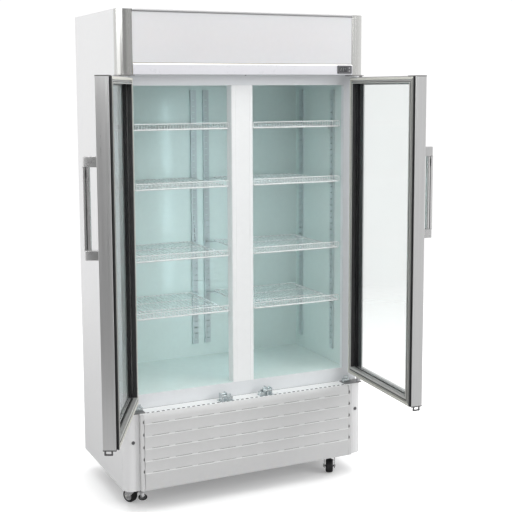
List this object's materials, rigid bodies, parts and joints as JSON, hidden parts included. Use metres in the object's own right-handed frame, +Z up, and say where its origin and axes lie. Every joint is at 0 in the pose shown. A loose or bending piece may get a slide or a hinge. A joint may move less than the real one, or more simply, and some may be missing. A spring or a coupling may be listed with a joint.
{
  "type": "glass door merchandiser",
  "caption": "Upright refrigerated display cabinet with hinged glass doors, wire shelves, lit header, louvred base and swivel casters.",
  "frame": {"origin": "on the floor, under the centre of the cabinet body", "axes": "+Z up, the doors face -Y, +X to the right when facing the doors"},
  "size_m": [1.2557, 1.0094, 1.83],
  "materials": {
    "cabinet_white": "gloss",
    "back_steel": "satin",
    "foam": "matte",
    "liner_white": "satin",
    "trim_white": "satin",
    "sign_panel": "gloss",
    "light_tube": "satin",
    "display_black": "satin",
    "display_window": "polished",
    "key_grey": "satin",
    "grille_grey": "satin",
    "screw_dark": "satin",
    "cord_gland": "matte",
    "compressor_black": "satin",
    "coil_aluminium": "satin",
    "fan_black": "satin",
    "pilaster_zinc": "satin",
    "shelf_wire_white": "gloss",
    "door_aluminium": "satin",
    "door_glass": "polished",
    "door_trim": "satin",
    "gasket": "matte",
    "hasp_chrome": "polished",
    "handle_aluminium": "satin",
    "bracket_steel": "satin",
    "keeper_chrome": "polished",
    "caster_steel": "satin",
    "wheel_rubber": "satin",
    "pedal_steel": "satin"
  },
  "bodies": {
    "cabinet": {"side_panel_left": "cabinet_white", "side_panel_right": "cabinet_white", "top_panel": "cabinet_white", "back_panel": "back_steel", "upper_posts": "cabinet_white", "lower_posts": "cabinet_white", "insulation_foam": "foam", "inner_liner": "liner_white", "face_frame": "liner_white", "centre_mullion": "trim_white", "header_sign_panel": "sign_panel", "header_top_trim": "cabinet_white", "header_lower_strip": "cabinet_white", "header_light_tube": "light_tube", "display_housing": "display_black", "display_lens": "display_window", "base_pan": "back_steel", "front_grille": "grille_grey", "ledge_cover": "cabinet_white", "cover_screws": "screw_dark", "rear_grille": "back_steel", "cord_gland": "cord_gland", "compressor": "compressor_black", "condenser_unit": "coil_aluminium", "evaporator_cover": "trim_white", "evaporator_coil": "coil_aluminium", "interior_light": "light_tube", "shelf_pilasters": "pilaster_zinc", "shelves_left": "shelf_wire_white", "shelves_right": "shelf_wire_white", "shelf_clips": "pilaster_zinc", "hinge_brackets": "bracket_steel", "lock_keepers": "keeper_chrome", "caster_plates": "caster_steel"},
    "door_left": {"door_frame_left": "door_aluminium", "door_glass_left": "door_glass", "door_trim_left": "door_trim", "door_gasket_left": "gasket", "door_hasp_left": "hasp_chrome", "door_handle_left": "handle_aluminium"},
    "door_right": {"door_frame_right": "door_aluminium", "door_glass_right": "door_glass", "door_trim_right": "door_trim", "door_gasket_right": "gasket", "door_hasp_right": "hasp_chrome", "door_handle_right": "handle_aluminium"},
    "key_up": {"display_key_up": "key_grey"},
    "key_down": {"display_key_down": "key_grey"},
    "condenser_fan": {"condenser_fan": "fan_black"},
    "evaporator_fan": {"evaporator_fan": "fan_black"},
    "caster_front_left": {"caster_fork_front_left": "caster_steel"},
    "wheel_front_left": {"caster_wheel_front_left": "wheel_rubber"},
    "pedal_front_left": {"caster_pedal_front_left": "pedal_steel"},
    "caster_front_right": {"caster_fork_front_right": "caster_steel"},
    "wheel_front_right": {"caster_wheel_front_right": "wheel_rubber"},
    "pedal_front_right": {"caster_pedal_front_right": "pedal_steel"},
    "caster_rear_left": {"caster_fork_rear_left": "caster_steel"},
    "wheel_rear_left": {"caster_wheel_rear_left": "wheel_rubber"},
    "caster_rear_right": {"caster_fork_rear_right": "caster_steel"},
    "wheel_rear_right": {"caster_wheel_rear_right": "wheel_rubber"}
  },
  "joints": [
    {"name": "left_door_hinge", "type": "hinge", "parent": "cabinet", "child": "door_left", "pos_m": [-0.488, -0.256, 0.985], "axis": [0, 0, 1], "range_deg": [-4, 116]},
    {"name": "right_door_hinge", "type": "hinge", "parent": "cabinet", "child": "door_right", "pos_m": [0.488, -0.256, 0.985], "axis": [0, 0, 1], "range_deg": [-86, 34]},
    {"name": "key_up_press", "type": "slide", "parent": "cabinet", "child": "key_up", "axis": [0, 1, 0], "range_m": [0, 0.001], "stiffness_N_per_m": 250},
    {"name": "key_down_press", "type": "slide", "parent": "cabinet", "child": "key_down", "axis": [0, 1, 0], "range_m": [0, 0.001], "stiffness_N_per_m": 250},
    {"name": "condenser_fan_spin", "type": "hinge", "parent": "cabinet", "child": "condenser_fan", "pos_m": [0.21, -0.131, 0.225], "axis": [0, 1, 0], "continuous": true},
    {"name": "evaporator_fan_spin", "type": "hinge", "parent": "cabinet", "child": "evaporator_fan", "pos_m": [0, -0.05, 1.597], "axis": [0, 0, 1], "continuous": true},
    {"name": "front_left_swivel", "type": "hinge", "parent": "cabinet", "child": "caster_front_left", "pos_m": [-0.428, -0.173, 0.077], "axis": [0, 0, 1], "continuous": true},
    {"name": "front_left_wheel_roll", "type": "hinge", "parent": "caster_front_left", "child": "wheel_front_left", "pos_m": [-0.444, -0.14529, 0.027], "axis": [-0.866, -0.5, 0], "continuous": true},
    {"name": "front_left_brake_pedal", "type": "hinge", "parent": "caster_front_left", "child": "pedal_front_left", "pos_m": [-0.422, -0.18339, 0.059], "axis": [0.866, 0.5, 0], "range_deg": [0, 10]},
    {"name": "front_right_swivel", "type": "hinge", "parent": "cabinet", "child": "caster_front_right", "pos_m": [0.397, -0.183, 0.077], "axis": [0, 0, 1], "continuous": true},
    {"name": "front_right_wheel_roll", "type": "hinge", "parent": "caster_front_right", "child": "wheel_front_right", "pos_m": [0.38124, -0.21085, 0.027], "axis": [0.8704, -0.4924, 0], "continuous": true},
    {"name": "front_right_brake_pedal", "type": "hinge", "parent": "caster_front_right", "child": "pedal_front_right", "pos_m": [0.40291, -0.17256, 0.059], "axis": [-0.8704, 0.4924, 0], "range_deg": [0, 10]},
    {"name": "rear_left_swivel", "type": "hinge", "parent": "cabinet", "child": "caster_rear_left", "pos_m": [-0.41, 0.167, 0.077], "axis": [0, 0, 1], "continuous": true},
    {"name": "rear_left_wheel_roll", "type": "hinge", "parent": "caster_rear_left", "child": "wheel_rear_left", "pos_m": [-0.38175, 0.18202, 0.027], "axis": [-0.4695, 0.8829, 0], "continuous": true},
    {"name": "rear_right_swivel", "type": "hinge", "parent": "cabinet", "child": "caster_rear_right", "pos_m": [0.41, 0.167, 0.077], "axis": [0, 0, 1], "continuous": true},
    {"name": "rear_right_wheel_roll", "type": "hinge", "parent": "caster_rear_right", "child": "wheel_rear_right", "pos_m": [0.42502, 0.19525, 0.027], "axis": [-0.8829, 0.4695, 0], "continuous": true}
  ]
}
